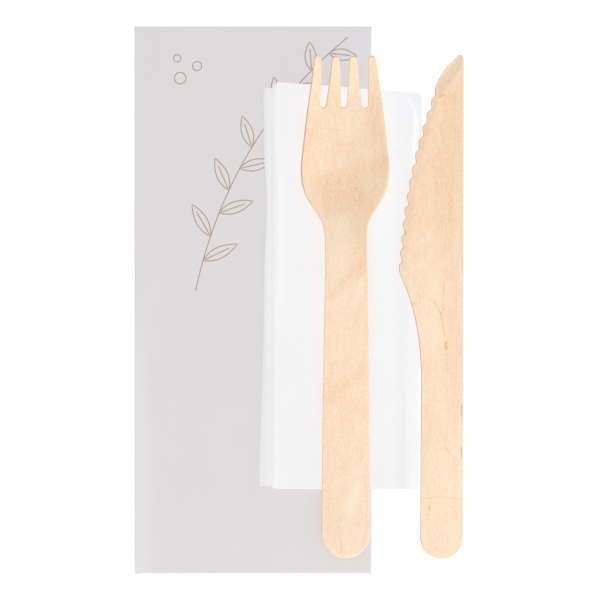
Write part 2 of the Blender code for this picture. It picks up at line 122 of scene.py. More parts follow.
# How far up each chip in its side lies, how deep it is and how long
CHIPS = ((76.5 * MM, 0.22 * MM, 0.9 * MM), (41.4 * MM, 0.16 * MM, 0.8 * MM))
STAMP_BUMP = 0.18 * MM
FORK_ROUND = 0.25 * MM
FORK_END_STRETCH = 1.07

# Knife
KNIFE_LENGTH = 165.4 * MM
KNIFE_BACK = knife_high.x
KNIFE_FOOT = MOUTH - 9.3 * MM - KNIFE_LENGTH
KNIFE_TURN = 0.1
KNIFE_HANDLE_WIDTH = 14.05 * MM
KNIFE_WAIST_WIDTH = 13.85 * MM
KNIFE_BELLY_WIDTH = 21.3 * MM
KNIFE_BLADE_LENGTH = 70.3 * MM
KNIFE_SWELL = 33.3 * MM
NOSE_LENGTH = 13.45 * MM
NOSE_WIDTH = 9.4 * MM
NOSE_TIP_WIDTH = 1.0 * MM
NOSE_TIP_HEIGHT = 1.6 * MM
TEETH = 13
TOOTH_DEPTH = 0.75 * MM
BELLY_TOOTH_DEPTH = 0.9 * MM
TOOTH_HOLLOW = 0.4
TOOTH_GROWTH = 0.04
TOOTH_STEP = 0.27
BEVEL_WIDTH = 2.2 * MM
BEVEL_DROP = 0.45 * MM
NARROW_BEVEL = 0.4
TIP_TURN = math.radians(80.0)
FACET_SLOPE = 0.27
FACET_DEPTH = 0.9 * MM
FACET_TOP = (0.4 * MM, 4.2 * MM)
FACET_FOOT = (8.5 * MM, 14.2 * MM)
KNIFE_ROUND = 0.09 * MM

# Birch, pale and dark, and the brown of its knots
FORK_LIGHT = (0.845, 0.7, 0.54)
FORK_DARK = (0.797, 0.555, 0.37)
KNIFE_LIGHT = (0.838, 0.682, 0.52)
KNIFE_DARK = (0.778, 0.55, 0.37)
KNOT_BROWN = (0.62, 0.34, 0.17)

# Printed sprig
INK_WIDTH = 0.36 * MM
INK_RISE = 0.02 * MM
INK_SINK = 0.01 * MM

# Camera
VIEW_WIDTH = 197.04 * MM
VIEW_DISTANCE = 2.0
VIEW_CENTRE = (0.28 * MM, 0.05 * MM)
SENSOR = 36.0

# Key light
KEY_PLACE = (1.4, -2.4, 2.85)


def blend(a, b, t):
    """The value that lies a share t of the way from a to b."""
    return a + (b - a) * t


def between(start, end, knots):
    """Knots whose place and value are shares of the way from one (place, value) to another."""
    return [(blend(start[0], end[0], place), blend(start[1], end[1], value)) for place, value in knots]


def square(r, c):
    """The four corners of one square in a grid of rows and columns."""
    return (r, c), (r, c + 1), (r + 1, c + 1), (r + 1, c)


def ease(t):
    """A smooth step from 0 to 1 as t goes from 0 to 1."""
    t = min(1.0, max(0.0, t))
    return t * t * (3.0 - 2.0 * t)


def hump(value, centre, width):
    """A soft bump of height 1."""
    return math.exp(-(((value - centre) / width) ** 2))


def smooth_curve(knots):
    """A curve through (place, value) knots that never swings past them."""
    places = [k[0] for k in knots]
    values = [k[1] for k in knots]
    count = len(knots)
    runs = [places[i + 1] - places[i] for i in range(count - 1)]
    slopes = [(values[i + 1] - values[i]) / runs[i] for i in range(count - 1)]
    lean = [slopes[0]]
    for i in range(1, count - 1):
        if slopes[i - 1] * slopes[i] <= 0.0:
            lean.append(0.0)
        else:
            first = 2.0 * runs[i] + runs[i - 1]
            second = runs[i] + 2.0 * runs[i - 1]
            lean.append((first + second) / (first / slopes[i - 1] + second / slopes[i]))
    lean.append(slopes[-1])

    def value(place):
        if place <= places[0]:
            return values[0]
        if place >= places[-1]:
            return values[-1]
        i = max(j for j in range(count - 1) if places[j] <= place)
        run = runs[i]
        t = (place - places[i]) / run
        rise = t * t * (3.0 - 2.0 * t)
        start = t * (1.0 - t) * (1.0 - t)
        end = t * t * (1.0 - t)
        return blend(values[i], values[i + 1], rise) + run * (start * lean[i] - end * lean[i + 1])

    return value


def new_object(name, data):
    made = bpy.data.objects.new(name, data)
    bpy.context.scene.collection.objects.link(made)
    return made


def add_piece(name, points, faces, material, smooth=True):
    """A closed piece that rides with the set."""
    mesh = bpy.data.meshes.new(name)
    mesh.from_pydata([tuple(p) for p in points], [], faces)
    shape = bmesh.new()
    shape.from_mesh(mesh)
    bmesh.ops.recalc_face_normals(shape, faces=shape.faces)
    shape.to_mesh(mesh)
    shape.free()
    mesh.materials.append(material)
    piece = new_object(name, mesh)
    if smooth:
        mesh.shade_smooth()
        weights = piece.modifiers.new("even_normals", "WEIGHTED_NORMAL")
        weights.keep_sharp = True
    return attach(piece, "root")


class Shader:
    """A small helper that builds one procedural material."""

    def __init__(self, name, roughness, specular):
        self.material = bpy.data.materials.new(name)
        self.material.use_nodes = True
        self.tree = self.material.node_tree
        self.surface = self.tree.nodes["Principled BSDF"]
        self.surface.inputs["Roughness"].default_value = roughness
        self.surface.inputs["Specular IOR Level"].default_value = specular
        self.place = self.node("ShaderNodeTexCoord").outputs["Object"]

    def node(self, kind, inputs=(), **settings):
        made = self.tree.nodes.new(kind)
        for key, value in settings.items():
            setattr(made, key, value)
        for key, value in dict(inputs).items():
            if isinstance(value, bpy.types.NodeSocket):
                self.tree.links.new(value, made.inputs[key])
            else:
                made.inputs[key].default_value = value
        return made

    def scaled(self, per_mm, shift):
        """Object coordinates scaled to so many units a millimetre."""
        scale = [s / MM for s in per_mm]
        made = self.node("ShaderNodeMapping", {"Vector": self.place, "Location": shift, "Scale": scale})
        return made.outputs["Vector"]

    def noise(self, per_mm, detail, rough, shift=(0.0, 0.0, 0.0)):
        inputs = {"Vector": self.scaled(per_mm, shift), "Scale": 1.0, "Detail": detail, "Roughness": rough}
        return self.node("ShaderNodeTexNoise", inputs).outputs["Fac"]

    def math(self, operation, a, b=0.0, c=0.0, clamp=False):
        made = self.node("ShaderNodeMath", {0: a, 1: b, 2: c}, operation=operation, use_clamp=clamp)
        return made.outputs["Value"]

    def clamped(self, value):
        return self.math("ADD", value, 0.0, clamp=True)

    def plus(self, share, value, amount):
        """The share with so much of another value added."""
        return self.math("ADD", share, self.math("MULTIPLY", value, amount))

    def sway(self, share, value, amount):
        """The share moved both ways by a value whose middle is a half."""
        return self.plus(share, self.math("SUBTRACT", value, 0.5), amount)

    def vector_math(self, operation, a, b):
        return self.node("ShaderNodeVectorMath", {0: a, 1: b}, operation=operation).outputs

    def spread(self, value, low, high, to_low=0.0, to_high=1.0):
        """A smooth step from one value at low to another at high."""
        inputs = {"Value": value, "From Min": low, "From Max": high, "To Min": to_low, "To Max": to_high}
        return self.node("ShaderNodeMapRange", inputs, interpolation_type="SMOOTHSTEP").outputs["Result"]

    def mix(self, share, a, b, blend_type="MIX"):
        made = self.node("ShaderNodeMix", data_type="RGBA", blend_type=blend_type)
        for socket, value in ((made.inputs[0], share), (made.inputs[6], a), (made.inputs[7], b)):
            if isinstance(value, bpy.types.NodeSocket):
                self.tree.links.new(value, socket)
            elif socket == made.inputs[0]:
                socket.default_value = value
            else:
                socket.default_value = (*value, 1.0)
        return made.outputs[2]

    def axes(self):
        made = self.node("ShaderNodeSeparateXYZ", {"Vector": self.place})
        return made.outputs["X"], made.outputs["Y"], made.outputs["Z"]

    def stroke(self, start, end, width):
        """One along a soft stroke between two places in the set, and nothing off it."""
        across, along, _ = self.axes()
        flat = self.node("ShaderNodeCombineXYZ", {"X": across, "Y": along}).outputs["Vector"]
        run = (end[0] - start[0], end[1] - start[1], 0.0)
        size = run[0] ** 2 + run[1] ** 2
        from_start = self.vector_math("SUBTRACT", flat, (*start, 0.0))["Vector"]
        share = self.vector_math("DOT_PRODUCT", from_start, [r / size for r in run])["Value"]
        scale = {0: run, "Scale": self.clamped(share)}
        beside = self.node("ShaderNodeVectorMath", scale, operation="SCALE").outputs["Vector"]
        away = self.vector_math("DISTANCE", from_start, beside)["Value"]
        return self.spread(away, width, 0.0)

    def color(self, value):
        self.tree.links.new(value, self.surface.inputs["Base Color"])

    def bump(self, height, distance, strength):
        made = self.node("ShaderNodeBump", {"Height": height, "Distance": distance, "Strength": strength})
        self.tree.links.new(made.outputs["Normal"], self.surface.inputs["Normal"])


def birch(name, light, dark, shift, marks):
    """Pale birch veneer with its fibres along +Y."""
    wood = Shader(name, 0.62, 0.25)
    broad = wood.noise((0.09, 0.02, 0.1), 2.0, 0.5, shift)
    figure = wood.noise((0.06, 0.022, 0.05), 1.0, 0.4, (shift[0] + 3.0, shift[1] + 7.0, 0.0))
    rings = wood.math("FRACT", wood.math("MULTIPLY", figure, 9.0))
    ring_line = wood.math("MULTIPLY", wood.spread(rings, 0.0, 0.75), wood.spread(rings, 1.0, 0.8))
    streaks = wood.noise((2.6, 0.11, 2.6), 3.0, 0.6, shift)
    pores = wood.noise((5.0, 0.55, 5.0), 2.0, 0.55, (shift[0] + 5.0, shift[1], 0.0))
    mottle = wood.noise((2.2, 1.3, 2.2), 3.0, 0.65, shift)
    dashes = wood.noise((4.2, 0.5, 4.2), 1.0, 0.5, (shift[0] + 9.0, shift[1] + 2.0, 0.0))
    share = wood.math("MULTIPLY_ADD", wood.math("SUBTRACT", broad, 0.5), 1.1, 0.42)
    share = wood.plus(share, ring_line, 0.14)
    share = wood.sway(share, streaks, 0.9)
    share = wood.sway(share, mottle, 1.9)
    share = wood.plus(share, wood.spread(dashes, 0.6, 0.72), -0.5)
    share = wood.plus(share, wood.spread(pores, 0.56, 0.72), 0.28)
    share = wood.plus(share, wood.spread(pores, 0.42, 0.3), -0.25)
    # The strokes add grain and marks, and also painted light and shade on the fork's bowl and neck and the
    # knife's edge and nose
    for start, end, width, amount in marks:
        share = wood.plus(share, wood.stroke(start, end, width), amount)
    color = wood.mix(wood.clamped(share), light, dark)
    wood.color(wood.mix(wood.math("SUBTRACT", share, 1.0, clamp=True), color, KNOT_BROWN))
    fibres = wood.plus(wood.math("MULTIPLY", streaks, 0.6), pores, 0.4)
    wood.bump(wood.plus(fibres, mottle, 0.5), 0.05 * MM, 0.6)
    return wood.material


def between_tines(shader, color, tint):
    """A cool tint that evens out the warm light under the fork's tines."""
    start = (FORK_MIDDLE, FORK_FOOT + 152.0 * MM)
    end = (FORK_MIDDLE, FORK_FOOT + FORK_LENGTH)
    return shader.mix(shader.stroke(start, end, 17.0 * MM), color, tint, "MULTIPLY")


def pouch_paper():
    """Smooth grey-lilac paper with a faint cloudy formation, and painted light along its left edge."""
    paper = Shader("pouch_paper_look", 0.8, 0.2)
    cloud = paper.noise((0.05, 0.04, 0.05), 3.0, 0.55)
    fine = paper.noise((1.2, 1.2, 1.2), 2.0, 0.5)
    across, along, _ = paper.axes()
    # Painted light: a paler band along the left fold in the lower part, where the paper curves down to its
    # edge
    edge = paper.spread(across, POUCH_LEFT + 7.5 * MM, POUCH_LEFT + 0.5 * MM)
    low = paper.spread(along, 10.0 * MM, -40.0 * MM)
    share = paper.math("MULTIPLY", edge, low)
    share = paper.sway(share, cloud, 0.9)
    share = paper.sway(share, fine, 0.4)
    share = paper.math("ADD", share, 0.3, clamp=True)
    color = paper.mix(share, (0.632, 0.607, 0.62), (0.672, 0.654, 0.66))
    # Painted light on the very left edge, lifting the shade where the paper turns under
    rim = paper.spread(across, POUCH_LEFT + 0.7 * MM, POUCH_LEFT + 0.35 * MM)
    color = paper.mix(rim, color, (1.08, 1.08, 1.08), "MULTIPLY")
    paper.color(between_tines(paper, color, (0.98, 1.02, 1.055)))
    grain = paper.noise((4.0, 4.0, 4.0), 3.0, 0.6)
    paper.bump(grain, 0.02 * MM, 0.5)
    return paper.material


def tissue():
    """White tissue, embossed with fine dots in slanting rows, with painted light and shade at its folds,
    ridge, crease and right side.
    """
    cloth = Shader("napkin_tissue_look", 0.95, 0.1)
    across, along, _ = cloth.axes()
    # Embossed dots, fainter in patches
    pitch = 0.62 * MM
    turn = 2.0 * math.pi / pitch
    one = cloth.math("SINE", cloth.math("MULTIPLY", across, turn))
    two = cloth.math("SINE", cloth.math("MULTIPLY", along, turn))
    dots = cloth.math("MULTIPLY", one, two)
    patch = cloth.spread(cloth.noise((0.05, 0.05, 0.05), 2.0, 0.5, (2.0, 1.0, 0.0)), 0.38, 0.6, 0.35, 1.0)
    dots = cloth.math("MULTIPLY", dots, patch)
    fibre = cloth.noise((1.8, 1.8, 1.8), 3.0, 0.6)
    share = cloth.math("MULTIPLY_ADD", dots, 0.3, 0.5)
    share = cloth.clamped(cloth.sway(share, fibre, 0.5))
    color = cloth.mix(share, (0.792, 0.791, 0.805), (0.828, 0.827, 0.839))
    # The top leaf grows a little darker toward the foot
    low = cloth.spread(along, 50.0 * MM, -70.0 * MM)
    color = cloth.mix(low, color, (0.965, 0.964, 0.962), "MULTIPLY")
    # The leaves under it, darker still
    second = NAPKIN_LEFT - SECOND_LEAF
    under = cloth.spread(across, NAPKIN_LEFT - 0.1 * MM, NAPKIN_LEFT - 0.5 * MM)
    color = cloth.mix(under, color, (0.735, 0.735, 0.748))
    depth = cloth.spread(across, second - LOWER_LEAF, second)
    lowest = cloth.mix(depth, (0.716, 0.718, 0.728), (0.758, 0.76, 0.766))
    color = cloth.mix(cloth.spread(across, second - 0.1 * MM, second - 0.4 * MM), color, lowest)
    # Painted light along the folded edges, lifting the shade that falls in the folds
    fold_painted_light = ((NAPKIN_LEFT, (0.965, 0.963, 0.97)), (second + 0.1 * MM, (0.88, 0.878, 0.885)))
    for fold, tint in fold_painted_light:
        away = cloth.math("ABSOLUTE", cloth.math("SUBTRACT", across, fold))
        color = cloth.mix(cloth.spread(away, 0.3 * MM, 0.12 * MM), color, tint)
    # Painted highlight on the soft ridge at the left
    ridge = cloth.stroke((NAPKIN_LEFT + 1.2 * MM, 40.0 * MM), (NAPKIN_LEFT + 1.6 * MM, 0.0), 1.8 * MM)
    color = cloth.mix(ridge, color, (0.826, 0.82, 0.836))
    # Painted shade and a cool tint against the warm bounce light on the right side, cooler above and darker
    # toward the foot
    beside = cloth.spread(across, POUCH_RIGHT - 14.0 * MM, POUCH_RIGHT + 6.0 * MM)
    color = cloth.mix(beside, color, cloth.mix(low, (0.787, 0.802, 0.828), (0.756, 0.752, 0.766)))
    # Painted light along the upper part of the right edge
    right_edge_painted_light = cloth.spread(across, NAPKIN_RIGHT - 6.5 * MM, NAPKIN_RIGHT - 3.5 * MM)
    color = cloth.mix(cloth.math("MULTIPLY", low, right_edge_painted_light), color, (1.075, 1.075, 1.07), "MULTIPLY")
    # Painted highlight along the crease at the upper right, which also lifts the knife's shade on the
    # napkin below it
    crease = ((12.3, -24.0, 0.7), (13.9, -27.4, 0.9), (14.7, -30.5, 1.6))
    crease += ((14.4, -35.6, 1.8), (13.6, -46.0, 1.8))
    for (x1, y1, width), (x2, y2, _) in zip(crease, crease[1:]):
        start = (POUCH_RIGHT + x1 * MM, MOUTH + y1 * MM)
        end = (POUCH_RIGHT + x2 * MM, MOUTH + y2 * MM)
        color = cloth.mix(cloth.stroke(start, end, width * MM), color, (0.86, 0.858, 0.868))
    cloth.color(between_tines(cloth, color, (0.97, 1.08, 1.15)))
    cloth.bump(cloth.plus(dots, fibre, 0.5), 0.04 * MM, 0.5)
    return cloth.material


def ink():
    """Thin brown printing ink."""
    line = Shader("print_ink_look", 0.7, 0.2)
    worn = line.noise((1.5, 1.5, 1.5), 2.0, 0.5)
    line.color(line.mix(worn, (0.36, 0.26, 0.19), (0.47, 0.37, 0.29)))
    return line.material


def pressed_plate(spots, quads, height, thickness, rounding, thinned):
    """A closed plate over flat spots: height gives its middle surface, and a rounded rim surrounds them."""
    # The rim's edges are those that one quad alone uses
    uses = {}
    for quad in quads:
        for a, b in zip(quad, quad[1:] + quad[:1]):
            uses[(a, b)] = True
    after = {a: b for a, b in uses if (b, a) not in uses}
    before = {b: a for a, b in after.items()}
    step = 0.05 * MM

    def placed(x, y, offset):
        """A point at an offset from the middle surface, square to it."""
        z = height(x, y)
        slope_x = (height(x + step, y) - height(x - step, y)) / (2.0 * step)
        slope_y = (height(x, y + step) - height(x, y - step)) / (2.0 * step)
        scale = offset / math.sqrt(1.0 + slope_x**2 + slope_y**2)
        return (x - slope_x * scale, y - slope_y * scale, z + scale)

    points = []
    index = {}

    def keep(key, point):
        index[key] = len(points)
        points.append(point)

    half = thickness / 2.0
    turns = [math.radians(d) for d in (0.0, 30.0, 60.0, 90.0)]
    levels = []
    for i, turn in enumerate(turns):
        drop = rounding * (1.0 - math.cos(turn))
        levels.append((("top", i), rounding * math.sin(turn), half - drop, True))
    for i, turn in reversed(list(enumerate(turns))):
        drop = rounding * (1.0 - math.cos(turn))
        levels.append((("low", i), rounding * math.sin(turn), drop - half, False))
    for key, (x, y) in spots.items():
        cut = thinned(x, y, key)
        if key not in after:
            keep((("top", 0), key), placed(x, y, half - cut))
            keep((("low", 0), key), placed(x, y, -half))
            continue
        ahead = spots[after[key]]
        behind = spots[before[key]]
        along_x = ahead[0] - behind[0]
        along_y = ahead[1] - behind[1]
        size = math.hypot(along_x, along_y)
        for level, outset, offset, upper in levels:
            rim_x = x + along_y / size * outset
            rim_y = y - along_x / size * outset
            keep((level, key), placed(rim_x, rim_y, offset - (cut if upper else 0.0)))
    faces = []
    for quad in quads:
        faces.append([index[(("top", 0), key)] for key in quad])
        faces.append([index[(("low", 0), key)] for key in reversed(quad)])
    for a, b in after.items():
        for upper, lower in zip(levels, levels[1:]):
            one = upper[0]
            two = lower[0]
            faces.append([index[(one, b)], index[(one, a)], index[(two, a)], index[(two, b)]])
    return points, faces


def round_row(half, places, edge_turn, share):
    """One row of a rounded end: share 1 lies on the end's arc, and share 0 is straight."""
    reach = half * math.sin(edge_turn)
    base = half * math.cos(edge_turn)
    row = []
    for place in places:
        x = reach * place
        row.append((x, base + share * (math.sqrt(half * half - x * x) - base)))
    return row


# Rows of a rounded end: degrees from its middle, and how much of the arc's rise each row has
ROUND_END = ((90.0, 0.0), (84.0, 0.12), (78.0, 0.28), (72.0, 0.46), (66.0, 0.66), (60.0, 0.84), (52.0, 1.0))


def build_fork(material):
    """Rows across the fork's outline, which split at the slots into four tines, pressed to its bends."""
    root = FORK_LENGTH - TINE_LENGTH
    neck = FORK_LENGTH - FORK_HEAD_LENGTH
    shoulder = FORK_LENGTH - FORK_SHOULDER
    half_neck = FORK_NECK_WIDTH / 2.0
    half_head = FORK_HEAD_WIDTH / 2.0
    half_handle = FORK_HANDLE_WIDTH / 2.0
    half_tip = FORK_TIP_SPREAD / 2.0
    handle_knots = ((0.0, 0.0), (0.76, 0.71))
    flare_knots = ((0.0, 0.0), (0.19, 0.06), (0.36, 0.3), (0.52, 0.645), (0.69, 0.885), (0.855, 0.99))
    tine_knots = ((0.0, 0.0), (0.2, 0.15), (0.5, 0.435), (0.75, 0.73), (1.0, 1.0))
    half_width = smooth_curve(
        between((half_handle, half_handle), (neck, half_neck), handle_knots)
        + between((neck, half_neck), (shoulder, half_head), flare_knots)
        + between((shoulder, half_head), (FORK_LENGTH, half_tip), tine_knots)
    )
    side = smooth_curve(
        [
            (0.0, HANDLE_RISE),
            (NAPKIN_FOOT - FORK_FOOT, 0.0),
            (blend(0.0, neck, 0.94), NECK_RISE),
            (blend(neck, shoulder, 0.92), 0.0),
            (blend(root, FORK_LENGTH, 0.17), 0.3 * TIP_RISE),
            (FORK_LENGTH, TIP_RISE),
        ]
    )
    dish = smooth_curve(
        [
            (neck, 0.0),
            (blend(neck, shoulder, 0.85), BOWL_DISH),
            (root, blend(BOWL_DISH, TINE_DISH, 0.5)),
            (FORK_LENGTH, TINE_DISH),
        ]
    )

    lean = smooth_curve(
        [
            (0.0, -1.2 * FORK_STRAY),
            (0.53 * neck, -0.6 * FORK_STRAY),
            (0.87 * neck, FORK_STRAY),
            (neck, -1.3 * FORK_STRAY),
            (blend(neck, shoulder, 0.36), -2.7 * FORK_STRAY),
            (blend(neck, shoulder, 0.65), -4.0 * FORK_STRAY),
            (shoulder, -3.7 * FORK_STRAY),
            (FORK_LENGTH - 8.0 * MM, -3.4 * FORK_STRAY),
            (FORK_LENGTH, -5.0 * FORK_STRAY),
        ]
    )

    def middle(along):
        return FORK_MIDDLE + lean(along)

    def height(x, y):
        along = y - FORK_FOOT
        across = (x - middle(along)) / half_head
        return FORK_REST + VENEER / 2.0 + side(along) + dish(along) * across * across

    tine_shares = (0.0, 0.16, 0.38, 0.62, 0.84, 1.0)
    slot_turns = (20.0, 42.0, 66.0, 90.0, 114.0, 138.0, 160.0)
    slots = tuple(zip((-1.0, 0.0, 1.0), SLOT_NARROWER))

    def slot(kind, along):
        """A slot's left and right sides at one place along the fork."""
        spacing, narrower = kind
        t = (along - root) / TINE_LENGTH
        centre = spacing * blend(SLOT_ROOT_SPACING, SLOT_TIP_SPACING, t)
        centre -= blend(SLOT_OFFSET, 0.0, t)
        wide = blend(SLOT_ROOT_WIDTH, SLOT_TIP_WIDTH, t) - narrower + 2.0 * FORK_ROUND
        return centre - wide / 2.0, centre + wide / 2.0

    def inner_half(along):
        return half_width(along) - FORK_ROUND

    def tine(number, along):
        """A tine's left and right sides at one place along the fork."""
        left = -inner_half(along) if number == 0 else slot(slots[number - 1], along)[1]
        right = inner_half(along) if number == len(slots) else slot(slots[number], along)[0]
        return left, right

    root_row = root + SLOT_ROOT_WIDTH / 2.0
    places = []
    dips = []
    tine_columns = []
    for number in range(len(slots) + 1):
        left, right = tine(number, root_row)
        tine_columns.append(list(range(len(places), len(places) + len(tine_shares))))
        for share in tine_shares:
            places.append(blend(left, right, share))
            dips.append(0.0)
        if number < len(slots):
            start, end = slot(slots[number], root_row)
            for degrees in slot_turns:
                turn = math.radians(degrees)
                places.append((start + end) / 2.0 - (end - start) / 2.0 * math.cos(turn))
                dips.append((end - start) / 2.0 * math.sin(turn))
    columns = len(places)
    half_root = inner_half(root_row)
    shares = [p / half_root for p in places]

    def nicked(along, share):
        """Small chips in the handle's right side and the stamping bumps at the widest place."""
        half = inner_half(along)
        if share > 0.999:
            for place, depth, length in CHIPS:
                half -= depth * hump(along, place, length)
        if abs(share) > 0.999:
            half += STAMP_BUMP * hump(along, shoulder - 0.6 * MM, 0.5 * MM)
        return half * share

    # The handle's round end, its straight rows, and the rows that bend into the slots' roots
    spots = {}
    row = 0
    for turn, share in reversed(ROUND_END):
        for c, (x, y) in enumerate(round_row(half_handle - FORK_ROUND, shares, math.radians(turn), share)):
            along = FORK_END_STRETCH * (half_handle - y)
            spots[(row, c)] = (middle(along) + x, FORK_FOOT + along)
        row += 1
    alongs = []
    handle_rows = 110
    head_rows = 56
    last_plain = root_row - 3.6 * MM
    for i in range(1, handle_rows + 1):
        alongs.append(blend(FORK_END_STRETCH * half_handle, neck, i / handle_rows))
    for i in range(1, head_rows + 1):
        alongs.append(blend(neck, last_plain, i / head_rows))
    for along in alongs:
        for c in range(columns):
            spots[(row, c)] = (middle(along) + nicked(along, shares[c]), FORK_FOOT + along)
        row += 1
    for behind, fade in ((2.9, 0.1), (2.2, 0.22), (1.6, 0.38), (1.0, 0.58), (0.5, 0.8), (0.0, 1.0)):
        along = root_row - behind * MM
        for c in range(columns):
            x = inner_half(along) * shares[c]
            spots[(row, c)] = (middle(along) + x, FORK_FOOT + along - fade * dips[c])
        row += 1
    root_index = row - 1
    quads = []
    for r in range(root_index):
        for c in range(columns - 1):
            quads.append(square(r, c))
    # The tines, each with its own rows and round tip
    tine_rows = 26
    for number, used in enumerate(tine_columns):
        left, right = tine(number, FORK_LENGTH)
        tip_base = FORK_LENGTH - TIP_SHORTER[number] - (right - left) / 2.0 - FORK_ROUND
        row = root_index
        for i in range(1, tine_rows + 1):
            row += 1
            along = blend(root_row, tip_base, i / tine_rows)
            left, right = tine(number, along)
            for share, c in zip(tine_shares, used):
                spots[(row, c)] = (middle(along) + blend(left, right, share), FORK_FOOT + along)
        tip_half = (right - left) / 2.0
        centre = (left + right) / 2.0
        spread = [2.0 * share - 1.0 for share in tine_shares]
        for turn, share in ROUND_END[1:]:
            row += 1
            for c, (x, y) in zip(used, round_row(tip_half, spread, math.radians(turn), share)):
                spots[(row, c)] = (middle(tip_base + y) + centre + x, FORK_FOOT + tip_base + y)
        for r in range(root_index, row):
            for c in used[:-1]:
                quads.append(square(r, c))
    points, faces = pressed_plate(spots, quads, height, VENEER, FORK_ROUND, lambda x, y, key: 0.0)
    fork = add_piece("fork_body", points, faces, material)
    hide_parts("wooden_fork")


def build_knife(material):
    """Rows from the toothed edge to the back, tilted so that the belly lies on the napkin."""
    belly = KNIFE_LENGTH - KNIFE_BLADE_LENGTH
    swell = belly - KNIFE_SWELL
    nose = KNIFE_LENGTH - NOSE_LENGTH
    half_handle = KNIFE_HANDLE_WIDTH / 2.0
    top_width = NOSE_WIDTH + TOOTH_DEPTH
    swell_knots = ((0.0, 0.0), (0.25, 0.08), (0.5, 0.265), (0.75, 0.585), (0.92, 0.895))
    blade_knots = ((0.0, 0.0), (0.09, 0.04), (0.25, 0.115), (0.5, 0.309), (0.75, 0.611), (1.0, 1.0))
    edge_line = smooth_curve(
        between((swell, KNIFE_WAIST_WIDTH), (belly, KNIFE_BELLY_WIDTH), swell_knots)
        + between((belly, KNIFE_BELLY_WIDTH), (nose, top_width), blade_knots)
    )

    last_tooth = TEETH - 0.5
    last_pitch = (1.0 + TOOTH_GROWTH) * (nose - belly) / last_tooth

    def tooth_place(count):
        """How far up a place count teeth below the nose lies, as the teeth grow longer toward the belly."""
        share = count / last_tooth
        return blend(nose, belly, share * (1.0 - TOOTH_GROWTH * (1.0 - share)))

    def toothed(count):
        """The edge's width: each point steps out below a notch, then falls back in a long hollow."""
        along = tooth_place(count)
        if count >= last_tooth:
            return edge_line(along)
        tooth = math.floor(count)
        part = count - tooth
        depth = blend(TOOTH_DEPTH, BELLY_TOOTH_DEPTH, count / last_tooth)
        if part < TOOTH_HOLLOW:
            cut = 1.0 - ease(part / TOOTH_STEP)
        else:
            tooth += 1
            cut = ease((part - TOOTH_HOLLOW) / (1.0 - TOOTH_HOLLOW))
        return edge_line(along) - depth * cut * (1.0 + 0.14 * math.sin(2.6 * tooth))

    columns = 30
    bevel_columns = 4
    handle_rows = 60
    swell_rows = 34
    edges = []
    for i in range(handle_rows):
        along = blend(half_handle, swell, i / handle_rows)
        edges.append((blend(KNIFE_HANDLE_WIDTH, KNIFE_WAIST_WIDTH, i / handle_rows), along, along, 0.0))
    for i in range(swell_rows):
        along = blend(swell, belly, i / swell_rows)
        edges.append((edge_line(along), along, along, 0.0))
    tooth_parts = (1.0, 0.9, 0.8, 0.7, 0.6, 0.52, 0.44, 0.35, 0.27, 0.21, 0.15, 0.1, 0.05)
    for tooth in range(TEETH, 0, -1):
        for part in tooth_parts:
            count = tooth - 1.0 + part
            if count <= last_tooth:
                edges.append((toothed(count), tooth_place(count), tooth_place(count), 0.0))
    nose_line = smooth_curve(
        [(0.0, 1.0), (0.18, 0.99), (0.37, 0.885), (0.57, 0.715), (0.765, 0.5), (0.9, 0.3), (1.0, 0.15)]
    )
    nose_rows = 34
    turn_rows = 9
    tip = KNIFE_LENGTH - NOSE_TIP_HEIGHT
    straight_rows = nose_rows - 1 - turn_rows
    for i in range(nose_rows):
        part = (i / (nose_rows - 1)) ** 0.85
        turn = TIP_TURN * max(0.0, i - straight_rows) / turn_rows
        far = blend(nose, tip, min(1.0, i / straight_rows)) + NOSE_TIP_HEIGHT * math.sin(turn)
        near = nose + NOSE_LENGTH * part
        edges.append((NOSE_WIDTH * nose_line(part), near, far, NOSE_TIP_WIDTH * (1.0 - math.cos(turn))))

    reach = KNIFE_BACK - NAPKIN_RIGHT
    roll = math.atan2(NAPKIN_THICKNESS, reach) + math.asin(REST_GAP / math.hypot(NAPKIN_THICKNESS, reach))
    spots = {}
    bevel_depth = {}
    # The handle's round end, then the rest of the outline
    row = 0
    last_row = len(ROUND_END) - 2 + len(edges)
    even = [2.0 * c / columns - 1.0 for c in range(columns + 1)]
    for turn, share in reversed(ROUND_END[1:]):
        for c, (x, y) in enumerate(round_row(half_handle - KNIFE_ROUND, even, math.radians(turn), share)):
            spots[(row, c)] = (x - half_handle, half_handle - y)
            bevel_depth[(row, c)] = 0.0
        row += 1
    for wide, near, far, inset in edges:
        smooth_edge = edge_line(near) if near <= nose else wide
        start = ease((near - belly + 2.0 * last_pitch) / (2.5 * last_pitch))
        outer = wide - KNIFE_ROUND
        last = inset + KNIFE_ROUND
        inner = smooth_edge - min(NARROW_BEVEL * (smooth_edge - last), BEVEL_WIDTH)
        for c in range(columns + 1):
            if c <= bevel_columns:
                x = blend(outer, inner, c / bevel_columns)
            else:
                x = blend(inner, last, (c - bevel_columns) / (columns - bevel_columns))
            bevel_depth[(row, c)] = start * max(0.0, x - inner) / BEVEL_WIDTH
            y = blend(near, far, (outer - x) / (outer - last))
            spots[(row, c)] = (-x, y - (KNIFE_ROUND if row == last_row else 0.0))
        row += 1
    quads = []
    for r in range(row - 1):
        for c in range(columns):
            quads.append(square(r, c))
    facet_x = -FACET_TOP[0]
    facet_y = KNIFE_LENGTH - FACET_TOP[1]
    run_x = FACET_TOP[0] - FACET_FOOT[0]
    run_y = FACET_TOP[1] - FACET_FOOT[1]
    run = math.hypot(run_x, run_y)

    def thinned(x, y, key):
        """How much the pressed band and the nose's facet take off the top."""
        beyond = ((x - facet_x) * run_y - (y - facet_y) * run_x) / run
        return max(BEVEL_DROP * bevel_depth[key], min(FACET_DEPTH, FACET_SLOPE * max(0.0, beyond)))

